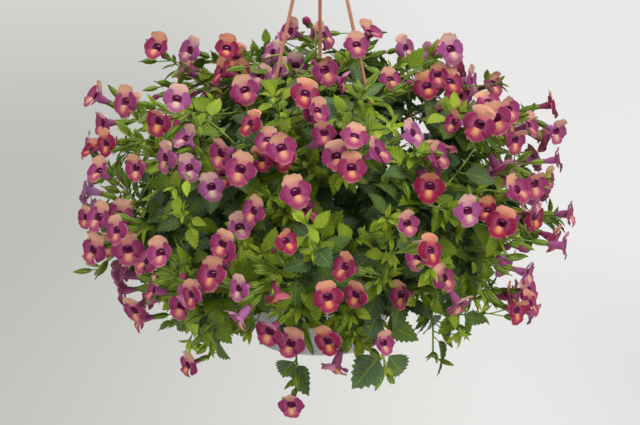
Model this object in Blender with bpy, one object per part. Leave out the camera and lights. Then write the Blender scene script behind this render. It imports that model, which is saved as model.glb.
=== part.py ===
"""Torenia hanging basket: a flowering plant in a moulded pot that hangs on a hook by three rods.

Metres, +Z up. The origin is where the hook bears on what it hangs from: the inside top of its crook.
The pot, the mix, the hub and the rods are turned, and the crook is swept. A shoot is a square stem
whose faces are extruded into its leaves and its calyx. A flower is a tube whose rim is extruded into
four lobes, and it stands in the calyx at the end of its shoot.
"""

import math
from collections import namedtuple

import bmesh
import bpy
from mathutils import Matrix, Vector

GAP = 0.0003  # between pieces that touch
MERGE = 0.00001  # points closer than this are one point
UP = Vector((0, 0, 1))

# Pot
RIM_Z = -0.366
POT_HEIGHT = 0.125
BASE_Z = RIM_Z - POT_HEIGHT
BASE_RADIUS = 0.0632
BASE_CHAMFER = 0.0022
RIM_RADIUS = 0.0940
LIP_DROP = 0.010
WALL = 0.0018
FLOOR = 0.0022
FLANGE = 0.0028
MOUTH_RADIUS = 0.0790
FLOOR_RADIUS = 0.0605
POT_SIDES = 40
SLOT_COUNT = 8
SLOT_WIDTH = 0.005
SLOT_HEIGHT = 0.010
SLOT_DEPTH = 0.018
FIRST_SLOT = math.radians(-77)

# Potting mix
MIX_TOP_Z = RIM_Z - 0.014

# Hanger
ROD_RADIUS = 0.00175
ROD_HOLE_RADIUS = 0.0024
ROD_HEAD_RADIUS = 0.0032
ROD_HEAD_HEIGHT = 0.0045
ROD_TIP_RADIUS = 0.0012
ROD_TOP_RADIUS = 0.0075  # how far from the axis a rod crosses the top of the hub
ROD_FOOT_RADIUS = 0.0865  # and the top of the rim
ROD_SIDES = 10
ROD_AZIMUTHS = {"back": math.radians(90), "left": math.radians(210), "right": math.radians(330)}
HUB_Z = -0.056
HUB_RADIUS = 0.0130
HUB_HEIGHT = 0.0050
HUB_CHAMFER = 0.0010
HUB_SIDES = 20
ROD_TILT = math.atan2(ROD_FOOT_RADIUS - ROD_TOP_RADIUS, HUB_Z - RIM_Z)
ROD_SPAN = math.hypot(ROD_FOOT_RADIUS - ROD_TOP_RADIUS, HUB_Z - RIM_Z)
DRILL_OVERRUN = 0.012  # how far the drill for the rod holes passes either end
CROOK_RADIUS = 0.0110  # the inside of the crook
CROOK_ROD_RADIUS = 0.0026
CROOK_START = math.radians(-50)
CROOK_END = math.radians(205)
CROOK_NECK = ((0.0, -1.8), (0.25, -1.15))  # where it leaves the shaft, in radii from its centre
CROOK_STEPS = 12
CROOK_SIDES = 8

# Plant
SHOOT_COUNT = 32
MOUND_RADIUS = 0.254  # from the rim's centre to the ends of the widest shoots' flowers
MOUND_TOP_LOSS = 0.062  # how much nearer the mound's top is, from its wide shoulders up
MOUND_BOTTOM_LOSS = 0.110  # and its bottom
TOP_SINE = 0.97  # sine of the elevation of the first shoot's end, seen from the rim's centre
BOTTOM_SINE = -0.85
FIRST_AZIMUTH = math.radians(-43.5)  # keeps every stem clear of the rods
GOLDEN_ANGLE = math.pi * (3 - math.sqrt(5))
FACE_SHARE = 0.6  # of that elevation, which a flower looks up by
LOWEST_FACE = math.radians(-14)
ROOT_RADIUS = 0.068  # the stems leave the mix inside this circle
NEAREST_END = 0.145  # from the axis, for a shoot that hangs straight down
START_RISE = 0.072  # how strongly a stem sets off upwards, and a hanging one more by the next
HANGING_RISE = 0.030
START_LEAN = 0.010
END_PULL = 0.070  # how strongly a stem's end runs the way its flower looks
HANGING_PULL = Vector((0.030, 0.200))  # and how strongly a hanging one's comes down from above
STEM_RADIUS = 0.0016  # half the width of its square section, at the root
STEM_TAPER = 0.6
NODE_HEIGHT = 0.0034  # the stretch of stem that a pair of leaf stalks grows from
LEAF_PLACES = {0.56: 0.042, 0.75: 0.038, 0.90: 0.030}  # share of the stem: length of leaf
BARE_PLACES = (0.12, 0.26, 0.42, 0.66, 0.83)
LEAF_RISE = math.radians(35)
LEAF_THICKNESS = 0.0009
SHORTEST_LEAF = 0.012
LEAF_SHAPE = ((0.16, 0.045, 0.00), (0.40, 0.30, 0.02), (0.70, 0.24, -0.03), (1.0, 0.02, -0.14))
CALYX_LENGTH = 0.016
CALYX_SHAPE = ((0.35, 0.0030), (0.75, 0.0034), (1.0, 0.0022))  # share of its length, radius
FLOWER_LENGTH = 0.0255  # from its foot to the front of its lobes
BUD_LENGTH = 0.024
BUD_SHAPE = ((0.30, 0.0034), (0.65, 0.0030), (1.0, 0.0006))
OWN_SHARE = 0.44  # of the distance to the next stem, which a leaf may reach
HOLDER_SHARE = 0.80  # of the distance to the pot or a rod
LINE_STEPS = 48  # points that a stem's line is measured by

# Flower, about its own axis: radius and height of each ring
FLOWER_SIDES = 8
TUBE = ((0.0017, 0.0), (0.0056, 0.0200), (0.0066, 0.0215))
THROAT = ((0.0050, 0.0215), (0.0024, 0.0110))
LOBES = {  # first face of the rim to the right, then turning left: reach, half width, forward
    0: ((0.0062, 0.0068, 0.0006), (0.0118, 0.0042, 0.0018)),
    2: ((0.0070, 0.0092, 0.0010), (0.0120, 0.0062, 0.0030)),
    4: ((0.0062, 0.0068, 0.0006), (0.0118, 0.0042, 0.0018)),
    6: ((0.0066, 0.0072, 0.0012), (0.0125, 0.0045, 0.0030)),
}
LOBE_THICKNESS = 0.0012

Shoot = namedtuple("Shoot", "azimuth line face in_flower")


def material(name, color, roughness, metallic=0.0):
    made = bpy.data.materials.new(name)
    made.use_nodes = True
    shader = made.node_tree.nodes["Principled BSDF"]
    shader.inputs["Base Color"].default_value = (*color, 1.0)
    shader.inputs["Roughness"].default_value = roughness
    shader.inputs["Metallic"].default_value = metallic
    return made


def mesh_from(bm, name):
    """Makes a mesh that is smooth, apart from the edges where it turns sharply."""
    mesh = bpy.data.meshes.new(name)
    bm.to_mesh(mesh)
    bm.free()
    mesh.shade_smooth()
    mesh.set_sharp_from_angle(angle=math.radians(35))
    return mesh


def add_piece(name, mesh, finish, parent):
    piece = bpy.data.objects.new(name, mesh)
    bpy.context.scene.collection.objects.link(piece)
    if finish is not None and not mesh.materials:
        mesh.materials.append(finish)
    piece.parent = parent
    return piece


def add_helper(name, mesh, parent):
    """A shape that only cuts or joins another."""
    helper = add_piece(name, mesh, None, parent)
    helper.hide_render = True
    helper.display_type = "WIRE"
    return helper


def combine(piece, helper, operation):
    modifier = piece.modifiers.new(helper.name, "BOOLEAN")
    modifier.operation = operation
    modifier.object = helper


def turned_mesh(name, outline, sides):
    """Turns an outline of radius and height, from axis to axis, about Z."""
    bm = bmesh.new()
    verts = [bm.verts.new((radius, 0, height)) for radius, height in outline]
    edges = [bm.edges.new(pair) for pair in zip(verts, verts[1:])]
    bmesh.ops.spin(
        bm, geom=verts + edges, cent=(0, 0, 0), axis=UP, angle=math.tau, steps=sides
    )
    bmesh.ops.remove_doubles(bm, verts=bm.verts, dist=MERGE)
    bmesh.ops.recalc_face_normals(bm, faces=bm.faces)
    return mesh_from(bm, name)


def box_mesh(name, width, depth, height):
    bm = bmesh.new()
    bmesh.ops.create_cube(bm, size=1)
    bmesh.ops.scale(bm, vec=(width, depth, height), verts=bm.verts)
    return mesh_from(bm, name)


def around(count, first=0.0):
    return [first + math.tau * step / count for step in range(count)]


def at(radius, azimuth, height):
    return Vector((radius * math.cos(azimuth), radius * math.sin(azimuth), height))


def grow(bm, face, corners):
    """Extrudes a face and puts the new end's points at the corners. Gives the new end face."""
    end = bmesh.ops.extrude_discrete_faces(bm, faces=[face])["faces"][0]
    for vert, corner in zip(end.verts, corners):
        vert.co = corner
    return end


def begin(bm, start, following):
    """Makes a closed block between two rings of corners. Gives its end face."""
    verts = [bm.verts.new(corner) for corner in start]
    end = grow(bm, bm.faces.new(verts), following)
    bm.faces.new(reversed(verts))
    return end


def side_faces(end):
    """The faces that were made beside an end face when it grew, in the order of its edges."""
    return [next(face for face in edge.link_faces if face is not end) for edge in end.edges]


# ---- pot and mix ----


def build_pot(finish, parent):
    top, underside = RIM_Z, RIM_Z - FLANGE
    lip_inner = RIM_RADIUS - WALL
    outline = (
        (0.0, BASE_Z + FLOOR),
        (FLOOR_RADIUS, BASE_Z + FLOOR),
        (MOUTH_RADIUS, top),
        (RIM_RADIUS - BASE_CHAMFER / 2, top),
        (RIM_RADIUS, top - BASE_CHAMFER / 2),
        (RIM_RADIUS, top - LIP_DROP),
        (lip_inner, top - LIP_DROP),
        (lip_inner, underside),
        (MOUTH_RADIUS + WALL, underside),
        (BASE_RADIUS, BASE_Z + BASE_CHAMFER),
        (BASE_RADIUS - BASE_CHAMFER, BASE_Z),
        (0.0, BASE_Z),
    )
    pot = add_piece("pot", turned_mesh("pot", outline, POT_SIDES), finish, parent)
    slot = box_mesh("drain_slot", SLOT_DEPTH, SLOT_WIDTH, 2 * SLOT_HEIGHT)
    for number, azimuth in enumerate(around(SLOT_COUNT, FIRST_SLOT), 1):
        cutter = add_helper(f"drain_slot_{number}", slot, parent)
        cutter.location = at(BASE_RADIUS, azimuth, BASE_Z)
        cutter.rotation_euler.z = azimuth
        combine(pot, cutter, "DIFFERENCE")
    drill_rod_holes(pot, parent)


def build_mix(finish, parent):
    bottom = BASE_Z + FLOOR
    taper = (MOUTH_RADIUS - FLOOR_RADIUS) / (RIM_Z - bottom)
    side = 2 * GAP  # the wall's flat facets come a little nearer the axis than its corners
    outline = (
        (0.0, MIX_TOP_Z),
        (FLOOR_RADIUS + taper * (MIX_TOP_Z - bottom) - side, MIX_TOP_Z),
        (FLOOR_RADIUS - side, bottom + GAP),
        (0.0, bottom + GAP),
    )
    add_piece("potting_mix", turned_mesh("potting_mix", outline, POT_SIDES), finish, parent)


# ---- hanger ----


def place_on_rod(piece, azimuth):
    """Puts a piece's own -Z along a rod, with its origin where the rod crosses the hub's top."""
    piece.location = at(ROD_TOP_RADIUS, azimuth, HUB_Z)
    piece.rotation_euler = (0, -ROD_TILT, azimuth)


def drill_rod_holes(piece, parent):
    top, foot = DRILL_OVERRUN, -ROD_SPAN - DRILL_OVERRUN
    outline = ((0.0, top), (ROD_HOLE_RADIUS, top), (ROD_HOLE_RADIUS, foot), (0.0, foot))
    drill = turned_mesh("rod_hole", outline, ROD_SIDES)
    for side, azimuth in ROD_AZIMUTHS.items():
        cutter = add_helper(f"{piece.name}_hole_{side}", drill, parent)
        place_on_rod(cutter, azimuth)
        combine(piece, cutter, "DIFFERENCE")


def build_rods(finish, parent):
    seat = ROD_HEAD_RADIUS * math.tan(ROD_TILT) + GAP  # clears the hub and the rim on the low side
    foot = -ROD_SPAN - FLANGE / math.cos(ROD_TILT) - seat
    outline = (
        (0.0, seat + ROD_HEAD_HEIGHT),
        (ROD_RADIUS, seat + ROD_HEAD_HEIGHT),
        (ROD_HEAD_RADIUS, seat + ROD_HEAD_HEIGHT / 2),
        (ROD_HEAD_RADIUS, seat),
        (ROD_RADIUS, seat),
        (ROD_RADIUS, foot),
        (ROD_HEAD_RADIUS, foot),
        (ROD_TIP_RADIUS, foot - ROD_HEAD_HEIGHT),
        (0.0, foot - ROD_HEAD_HEIGHT),
    )
    mesh = turned_mesh("hanger_rod", outline, ROD_SIDES)
    for side, azimuth in ROD_AZIMUTHS.items():
        place_on_rod(add_piece(f"hanger_rod_{side}", mesh, finish, parent), azimuth)


def crook_line():
    """The middle line of the crook, from inside the hub to its free end."""
    radius = CROOK_RADIUS + CROOK_ROD_RADIUS
    centre = -CROOK_RADIUS
    line = [(0.0, HUB_Z - HUB_HEIGHT / 2)]
    line += [(x * radius, centre + z * radius) for x, z in CROOK_NECK]
    for step in range(CROOK_STEPS + 1):
        angle = CROOK_START + (CROOK_END - CROOK_START) * step / CROOK_STEPS
        line.append((radius * math.cos(angle), centre + radius * math.sin(angle)))
    return [Vector((x, 0, z)) for x, z in line]


def crook_rings(line):
    rings = []
    ends = [2 * line[0] - line[1], *line, 2 * line[-1] - line[-2]]
    for before, here, after in zip(ends, line, ends[2:]):
        along = (after - before).normalized()
        across = Vector((along.z, 0, -along.x)) * CROOK_ROD_RADIUS
        level = Vector((0, CROOK_ROD_RADIUS, 0))
        turns = around(CROOK_SIDES)
        rings.append([here + across * math.cos(turn) + level * math.sin(turn) for turn in turns])
    return rings


def build_hook(finish, parent):
    outline = (
        (0.0, HUB_Z),
        (HUB_RADIUS - HUB_CHAMFER, HUB_Z),
        (HUB_RADIUS, HUB_Z - HUB_CHAMFER),
        (HUB_RADIUS, HUB_Z - HUB_HEIGHT),
        (0.0, HUB_Z - HUB_HEIGHT),
    )
    hub = add_piece("hanger_hook", turned_mesh("hub", outline, HUB_SIDES), finish, parent)
    bm = bmesh.new()
    rings = crook_rings(crook_line())
    end = begin(bm, rings[0], rings[1])
    for ring in rings[2:]:
        end = grow(bm, end, ring)
    crook = add_helper("hanger_crook", mesh_from(bm, "hanger_crook"), parent)
    combine(hub, crook, "UNION")
    drill_rod_holes(hub, parent)


# ---- plant ----


def stem_point(root, start_pull, end_pull, end, share):
    rest = 1 - share
    parts = (rest**3, 3 * rest**2 * share, 3 * rest * share**2, share**3)
    return sum((p * w for p, w in zip((root, start_pull, end_pull, end), parts)), Vector((0, 0)))


def plan_shoot(index):
    """Lays a shoot in its own upright half plane. Here x is the distance from the axis and y is up."""
    share = (index + 0.5) / SHOOT_COUNT
    sine = TOP_SINE + (BOTTOM_SINE - TOP_SINE) * share
    low, high = max(0.0, -sine), max(0.0, sine)
    elevation = math.asin(sine)
    reach = MOUND_RADIUS - MOUND_TOP_LOSS * high**4 - MOUND_BOTTOM_LOSS * low**2
    face_angle = max(FACE_SHARE * elevation, LOWEST_FACE)
    face = Vector((math.cos(face_angle), math.sin(face_angle)))
    in_flower = index % 3 != 2  # every third shoot is in bud
    head = CALYX_LENGTH + FLOWER_LENGTH if in_flower else BUD_LENGTH
    root = Vector((ROOT_RADIUS * math.sqrt(share), MIX_TOP_Z + GAP))
    end = Vector((reach * math.cos(elevation), RIM_Z + reach * sine)) - face * head
    end.x = max(end.x, NEAREST_END * low)
    start_pull = root + Vector((START_LEAN, START_RISE + HANGING_RISE * low))
    end_pull = end - face * END_PULL * (1 - low) + HANGING_PULL * low
    flat = [
        stem_point(root, start_pull, end_pull, end, step / LINE_STEPS)
        for step in range(LINE_STEPS + 1)
    ]
    azimuth = FIRST_AZIMUTH + index * GOLDEN_ANGLE
    line = [at(point.x, azimuth, point.y) for point in flat]
    return Shoot(azimuth, line, at(face.x, azimuth, face.y), in_flower)


def along_line(line, share):
    """The point at a share of the line's length, and the direction there."""
    steps = [(b - a).length for a, b in zip(line, line[1:])]
    left = share * sum(steps)
    for start, stop, step in zip(line, line[1:], steps):
        if left <= step:
            break
        left -= step
    return start + (stop - start) * min(left / step, 1.0), (stop - start).normalized()


def distance_to_holder(point):
    """How far a point is from the pot's outside or from the nearest rod."""
    level = math.hypot(point.x, point.y)
    pot = math.hypot(max(level - RIM_RADIUS, 0.0), max(point.z - RIM_Z, 0.0))
    rods = []
    for azimuth in ROD_AZIMUTHS.values():
        top = at(ROD_TOP_RADIUS, azimuth, HUB_Z)
        run = at(ROD_FOOT_RADIUS, azimuth, RIM_Z) - top
        share = min(max((point - top).dot(run) / run.length_squared, 0.0), 1.0)
        rods.append((point - top - run * share).length - ROD_HEAD_RADIUS)
    return min(pot, *rods)


def room_for_leaf(point, others):
    nearest = min((point - other).length for other in others)
    return min(OWN_SHARE * nearest, HOLDER_SHARE * distance_to_holder(point))


def corner_sides(face, across, along):
    """Which side of the face's middle each of its points is on, across and along, as -1 or 1."""
    middle = face.calc_center_median()
    offsets = [vert.co - middle for vert in face.verts]
    return [(math.copysign(1, o.dot(across)), math.copysign(1, o.dot(along))) for o in offsets]


def grow_leaf(bm, face, along, length):
    """Grows a stalk and a blade from the side face of a stem that runs along a direction."""
    face.normal_update()
    out = face.normal.copy()
    middle = face.calc_center_median()
    across = along.cross(out).normalized()
    sides = corner_sides(face, across, along)
    run = out * math.cos(LEAF_RISE) + along * math.sin(LEAF_RISE)
    lift = along * math.cos(LEAF_RISE) - out * math.sin(LEAF_RISE)
    for share, half_width, rise in LEAF_SHAPE:
        centre = middle + (run * share + UP * rise) * length
        wide, thick = across * half_width * length, lift * LEAF_THICKNESS / 2
        face = grow(bm, face, [centre + wide * side + thick * face_side for side, face_side in sides])


def stem_ring(centre, along, level, radius):
    """Four corners round a stem, turning left as seen from ahead."""
    rise = along.cross(level)
    return [centre + radius * (level * x + rise * y) for x, y in ((1, 1), (-1, 1), (-1, -1), (1, -1))]


def stem_stops():
    """The places of a stem's rings, as share of its length, shift along it, and leaf pair or None."""
    stops = [(place, 0.0, None) for place in BARE_PLACES]
    for number, place in enumerate(LEAF_PLACES):
        stops += [(place, -NODE_HEIGHT / 2, None), (place, NODE_HEIGHT / 2, number)]
    return sorted(stops, key=lambda stop: stop[:2]) + [(1.0, 0.0, None)]


def build_shoot(name, shoot, others, finish, parent):
    level = at(1, shoot.azimuth + math.pi / 2, 0)
    bm = bmesh.new()
    root, tangent = along_line(shoot.line, 0.0)
    start = [Vector((c.x, c.y, root.z)) for c in stem_ring(root, UP, level, STEM_RADIUS)]
    end = None
    for place, shift, pair in stem_stops():
        point, tangent = along_line(shoot.line, place)
        radius = STEM_RADIUS * (1 - (1 - STEM_TAPER) * place)
        ring = stem_ring(point + tangent * shift, tangent, level, radius)
        end = grow(bm, end, ring) if end else begin(bm, start, ring)
        if pair is None:
            continue
        length = min(list(LEAF_PLACES.values())[pair], room_for_leaf(point, others))
        if length >= SHORTEST_LEAF:
            for face in side_faces(end)[pair % 2 :: 2]:
                grow_leaf(bm, face, tangent, length)
    shape, head = (CALYX_SHAPE, CALYX_LENGTH) if shoot.in_flower else (BUD_SHAPE, BUD_LENGTH)
    for share, radius in shape:
        ring = stem_ring(shoot.line[-1] + shoot.face * share * head, shoot.face, level, radius)
        end = grow(bm, end, ring)
    add_piece(name, mesh_from(bm, name), finish, parent)


def flower_ring(radius, height):
    return [at(radius, turn, height) for turn in around(FLOWER_SIDES, -math.pi / FLOWER_SIDES)]


def grow_lobe(bm, face, sections):
    middle = face.calc_center_median()
    out = Vector((middle.x, middle.y, 0)).normalized()
    across = UP.cross(out)
    sides = corner_sides(face, across, UP)
    for reach, half_width, forward in sections:
        centre = middle + out * reach + UP * forward
        wide, thick = across * half_width, UP * LOBE_THICKNESS / 2
        face = grow(bm, face, [centre + wide * side + thick * front for side, front in sides])


def flower_mesh():
    """One corolla along Z, with its upper lip towards Y."""
    bm = bmesh.new()
    rings = [flower_ring(*place) for place in TUBE + THROAT]
    end = begin(bm, rings[0], rings[1])
    end = grow(bm, end, rings[2])
    rim = side_faces(end)
    for ring in rings[3:]:
        end = grow(bm, end, ring)
    for number, sections in LOBES.items():
        grow_lobe(bm, rim[number], sections)
    return mesh_from(bm, "flower")


def place_flower(flower, shoot):
    right = UP.cross(shoot.face).normalized()
    turn = Matrix((right, shoot.face.cross(right), shoot.face)).transposed()
    mouth = shoot.line[-1] + shoot.face * (CALYX_LENGTH + GAP)
    flower.rotation_euler = turn.to_euler()
    flower.location = mouth


def build_plant(leaf_finish, flower_finish, parent):
    shoots = [plan_shoot(index) for index in range(SHOOT_COUNT)]
    heads = [shoot.line[-1] + shoot.face * (CALYX_LENGTH + FLOWER_LENGTH) for shoot in shoots]
    corolla = flower_mesh()
    flowers = 0
    for number, shoot in enumerate(shoots, 1):
        others = [
            point
            for other, head in zip(shoots, heads)
            if other is not shoot
            for point in (*other.line, (other.line[-1] + head) / 2, head)
        ]
        build_shoot(f"shoot_{number:02}", shoot, others, leaf_finish, parent)
        if shoot.in_flower:
            flowers += 1
            place_flower(add_piece(f"flower_{flowers:02}", corolla, flower_finish, parent), shoot)


def main():
    for old in list(bpy.data.objects):
        bpy.data.objects.remove(old)
    basket = bpy.data.objects.new("torenia_hanging_basket", None)
    bpy.context.scene.collection.objects.link(basket)
    rod_plastic = material("terracotta_plastic", (0.52, 0.22, 0.13), 0.42)
    build_pot(material("pale_plastic", (0.66, 0.66, 0.65), 0.38), basket)
    build_mix(material("peat_mix", (0.055, 0.035, 0.022), 0.95), basket)
    build_hook(rod_plastic, basket)
    build_rods(rod_plastic, basket)
    leaf = material("leaf", (0.09, 0.20, 0.045), 0.5)
    petal = material("petal", (0.45, 0.07, 0.22), 0.55)
    build_plant(leaf, petal, basket)


main()
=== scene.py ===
import math
import random
from collections import Counter

import bpy
from mathutils import Matrix, Vector
from mathutils.kdtree import KDTree


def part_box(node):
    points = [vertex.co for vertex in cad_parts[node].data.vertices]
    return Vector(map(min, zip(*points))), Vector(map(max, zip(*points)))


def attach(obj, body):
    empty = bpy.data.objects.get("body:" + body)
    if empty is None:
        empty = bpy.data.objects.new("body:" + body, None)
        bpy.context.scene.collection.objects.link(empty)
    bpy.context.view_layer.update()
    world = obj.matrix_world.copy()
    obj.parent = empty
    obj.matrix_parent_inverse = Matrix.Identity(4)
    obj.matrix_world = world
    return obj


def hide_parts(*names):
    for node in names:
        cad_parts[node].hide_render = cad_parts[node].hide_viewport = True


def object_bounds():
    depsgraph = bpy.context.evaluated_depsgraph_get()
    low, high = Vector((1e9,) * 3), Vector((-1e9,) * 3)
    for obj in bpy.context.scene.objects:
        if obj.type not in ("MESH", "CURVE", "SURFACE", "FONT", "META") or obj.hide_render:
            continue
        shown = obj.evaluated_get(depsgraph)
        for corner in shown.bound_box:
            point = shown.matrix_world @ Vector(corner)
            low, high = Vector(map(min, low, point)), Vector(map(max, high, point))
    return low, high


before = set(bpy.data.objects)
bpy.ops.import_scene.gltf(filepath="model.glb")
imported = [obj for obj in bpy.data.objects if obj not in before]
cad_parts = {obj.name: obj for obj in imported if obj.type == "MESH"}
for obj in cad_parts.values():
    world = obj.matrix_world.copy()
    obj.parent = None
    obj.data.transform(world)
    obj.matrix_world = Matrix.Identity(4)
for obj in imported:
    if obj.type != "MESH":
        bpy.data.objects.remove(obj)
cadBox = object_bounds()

# A torenia in flower, in a moulded pot on three rods. The pot, hub and rods are where the CAD says.
# Every shoot is drawn as one piece of foliage and, where it flowers, one piece of blooms.

up = Vector((0, 0, 1))
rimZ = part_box("pot")[1].z
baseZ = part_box("pot")[0].z
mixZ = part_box("potting_mix")[1].z
goldenAngle = math.pi * (3 - math.sqrt(5))


shot = {"elevation": 12, "distance": 2.0, "lens": 112.5, "aimZ": -0.360}


def addCamera():
    tilt = math.radians(shot["elevation"])
    aim = Vector((0, 0, shot["aimZ"]))
    place = aim + Vector((0, -math.cos(tilt), math.sin(tilt))) * shot["distance"]
    bpy.ops.object.camera_add(location=place, rotation=(math.pi / 2 - tilt, 0, 0))
    bpy.context.object.data.lens = shot["lens"]
    bpy.context.scene.camera = bpy.context.object


studio = {
    "floorZ": baseZ - 0.45,
    "floorSize": 60,
    "lamps": {  # place, size, watts
        "key": ((1.1, -1.6, 1.3), 1.3, 34),
        "fill": ((-1.9, -1.2, 0.4), 1.8, 14),
        "top": ((0.1, 0.9, 1.9), 1.6, 22),
        "low": ((0.0, -1.5, -1.3), 1.4, 5),
    },
    "aimZ": -0.35,
    "ambient": 0.55,
    "paper": (0.70, 0.70, 0.685, 1),
}


def addLamps():
    aim = Vector((0, 0, studio["aimZ"]))
    for name, (place, size, watts) in studio["lamps"].items():
        turn = (aim - Vector(place)).to_track_quat("-Z", "Y").to_euler()
        bpy.ops.object.light_add(type="AREA", location=place, rotation=turn)
        lamp = bpy.context.object
        lamp.name = name
        lamp.data.shape = "DISK"
        lamp.data.size = size
        lamp.data.energy = watts
    bpy.context.scene.world = bpy.data.worlds.new("studio")
    start = emptied(bpy.context.scene.world)
    light = start.node(
        "ShaderNodeBackground", inputs={"Color": (1, 1, 1, 1), "Strength": studio["ambient"]}
    )
    paper = start.node("ShaderNodeBackground", inputs={"Color": studio["paper"], "Strength": 1.0})
    shown = start.node("ShaderNodeMixShader", inputs={0: start.seen(), 1: light, 2: paper})
    start.node("ShaderNodeOutputWorld", inputs={"Surface": shown})


class Wire:
    # a socket to work sums on: each sum adds its Math node to the tree

    def __init__(self, tree, socket=None):
        self.tree = tree
        self.socket = socket

    def node(self, kind, settings=None, inputs=None, output=0):
        made = self.tree.nodes.new(kind)
        for name, value in (settings or {}).items():
            setattr(made, name, value)
        for name, value in (inputs or {}).items():
            if isinstance(value, Wire):
                self.tree.links.new(value.socket, made.inputs[name])
            else:
                made.inputs[name].default_value = value
        return Wire(self.tree, made.outputs[output] if made.outputs else None)

    def maths(self, operation, *values):
        return self.node("ShaderNodeMath", {"operation": operation}, dict(enumerate(values)))

    def __add__(self, other):
        return self.maths("ADD", self, other)

    def __radd__(self, other):
        return self.maths("ADD", other, self)

    def __sub__(self, other):
        return self.maths("SUBTRACT", self, other)

    def __rsub__(self, other):
        return self.maths("SUBTRACT", other, self)

    def __mul__(self, other):
        return self.maths("MULTIPLY", self, other)

    def __rmul__(self, other):
        return self.maths("MULTIPLY", other, self)

    def __abs__(self):
        return self.maths("ABSOLUTE", self)

    def most(self, other):
        return self.maths("MAXIMUM", self, other)

    def smooth(self, low, high):
        # 0 below low, 1 above high, with an eased change between
        return self.node(
            "ShaderNodeMapRange",
            {"interpolation_type": "SMOOTHSTEP"},
            {"Value": self, "From Min": low, "From Max": high},
        )

    def tint(self, start, end, blend="MIX"):
        # this value mixes two colours
        ends = {6: start, 7: end}
        for name, value in ends.items():
            if not isinstance(value, Wire):
                ends[name] = (*value, 1)
        return self.node(
            "ShaderNodeMix", {"data_type": "RGBA", "blend_type": blend}, {0: self, **ends}, 2
        )

    def mark(self, name):
        # a number that the modelled mesh carries
        return self.node("ShaderNodeAttribute", {"attribute_name": name}, output="Fac")

    def spot(self):
        return self.node("ShaderNodeTexCoord", output="Object")

    def axis(self, name):
        return self.node("ShaderNodeSeparateXYZ", inputs={"Vector": self.spot()}, output=name)

    def noise(self, scale, detail=2.0, rough=0.5):
        sockets = {"Vector": self.spot(), "Scale": scale, "Detail": detail, "Roughness": rough}
        return self.node("ShaderNodeTexNoise", inputs=sockets)

    def seen(self):
        # 1 for the camera's own rays and for those that gloss and glass send on
        camera, gloss, glass = (
            self.node("ShaderNodeLightPath", output=f"Is {name} Ray")
            for name in ("Camera", "Glossy", "Transmission")
        )
        return camera.most(gloss.most(glass))

    def bump(self, height, strength, distance):
        sockets = {"Height": height, "Strength": strength, "Distance": distance}
        return self.node("ShaderNodeBump", inputs=sockets)


def emptied(owner):
    # a wire to start a material's or the world's nodes from, with none there yet
    owner.use_nodes = True
    owner.node_tree.nodes.clear()
    return Wire(owner.node_tree)


def finish(name, build):
    # makes a material from a shader, or from the Principled sockets that build gives
    made = bpy.data.materials.new(name)
    start = emptied(made)
    surface = build(start)
    if isinstance(surface, dict):
        surface = start.node("ShaderNodeBsdfPrincipled", inputs=surface)
    start.node("ShaderNodeOutputMaterial", inputs={"Surface": surface})
    return made


def skin(body, roughness, gloss, relief):
    return {
        "Base Color": body,
        "Roughness": roughness,
        "Specular IOR Level": gloss,
        "Normal": relief,
    }


leafColours = {
    # the old leaves' own dark green, made greyer and bluer as a painted sheen
    "old": (0.088, 0.160, 0.074),
    "grown": (0.128, 0.230, 0.001),
    "young": (0.430, 0.565, 0.050),
    "vein": (0.230, 0.340, 0.030),
    "under": (0.140, 0.230, 0.025),
    "bronze": (0.200, 0.080, 0.020),
    # a near-black green that random patches take on, as painted shade
    "shade": (0.020, 0.046, 0.003),
}


def buildLeaf(start):
    across, along = abs(start.mark("across")), start.mark("along")
    age, hue = start.mark("age"), start.mark("hue")
    patches = start.noise(60, 3)
    young = age.smooth(0.45, 0.95)
    # older leaves take the old green, which carries a painted sheen
    body = age.smooth(0.27, 0.66).tint(leafColours["old"], leafColours["grown"])
    body = young.tint(body, leafColours["young"])
    body = (hue * 0.22 * patches).tint(body, leafColours["bronze"])
    # painted shade: random patches darken towards the near-black green
    body = (0.35 * (1 - patches.smooth(0.35, 0.65))).tint(body, leafColours["shade"])
    ribs = along * 8 - across * 1.6
    ridge = abs(ribs - ribs.maths("ROUND", ribs))
    sideVein = (1 - ridge.smooth(0.0, 0.12)) * (1 - across.smooth(0.75, 0.95))
    middle = 1 - across.smooth(0.03, 0.10)
    veins = middle.most(sideVein * 0.6)
    body = (veins * 0.55).tint(body, leafColours["vein"])
    body = (start.mark("under") * 0.6).tint(body, leafColours["under"])
    quilt = ridge.smooth(0.0, 0.45) * across.smooth(0.0, 0.2)
    relief = start.bump(quilt + 0.25 * start.noise(900, 2), 0.55, 0.0009)
    return skin(body, 0.28 + 0.24 * patches, 0.11, relief)


stemColours = {
    "green": (0.350, 0.450, 0.100),
    "ripe": (0.080, 0.140, 0.015),
    "red": (0.140, 0.045, 0.030),
}


def buildStem(start):
    patches = start.noise(45, 3)
    body = patches.smooth(0.35, 0.65).tint(stemColours["green"], stemColours["ripe"])
    body = (0.8 * start.noise(22, 2).smooth(0.56, 0.70)).tint(body, stemColours["red"])
    relief = start.bump(start.noise(1400, 2), 0.3, 0.0003)
    return skin(body, 0.38 + 0.15 * patches, 0.25, relief)


calyxColours = {
    "valley": (0.150, 0.240, 0.016),
    "rib": (0.310, 0.430, 0.060),
    "tip": (0.150, 0.050, 0.020),
    "dark": (0.050, 0.090, 0.010),
}


def buildCalyx(start):
    rib, along = start.mark("across"), start.mark("along")
    age, hue = start.mark("age"), start.mark("hue")
    body = rib.smooth(0.25, 0.9).tint(calyxColours["valley"], calyxColours["rib"])
    body = (0.65 * (1 - age)).tint(body, calyxColours["dark"])
    body = (along.smooth(0.72, 1.0) * hue.smooth(0.45, 0.9)).tint(body, calyxColours["tip"])
    body = (0.3 * start.noise(150, 3)).tint(body, calyxColours["dark"])
    relief = start.bump(start.noise(700, 2), 0.3, 0.0004)
    return skin(body, 0.36 + 0.15 * start.noise(90, 2), 0.25, relief)


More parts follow.
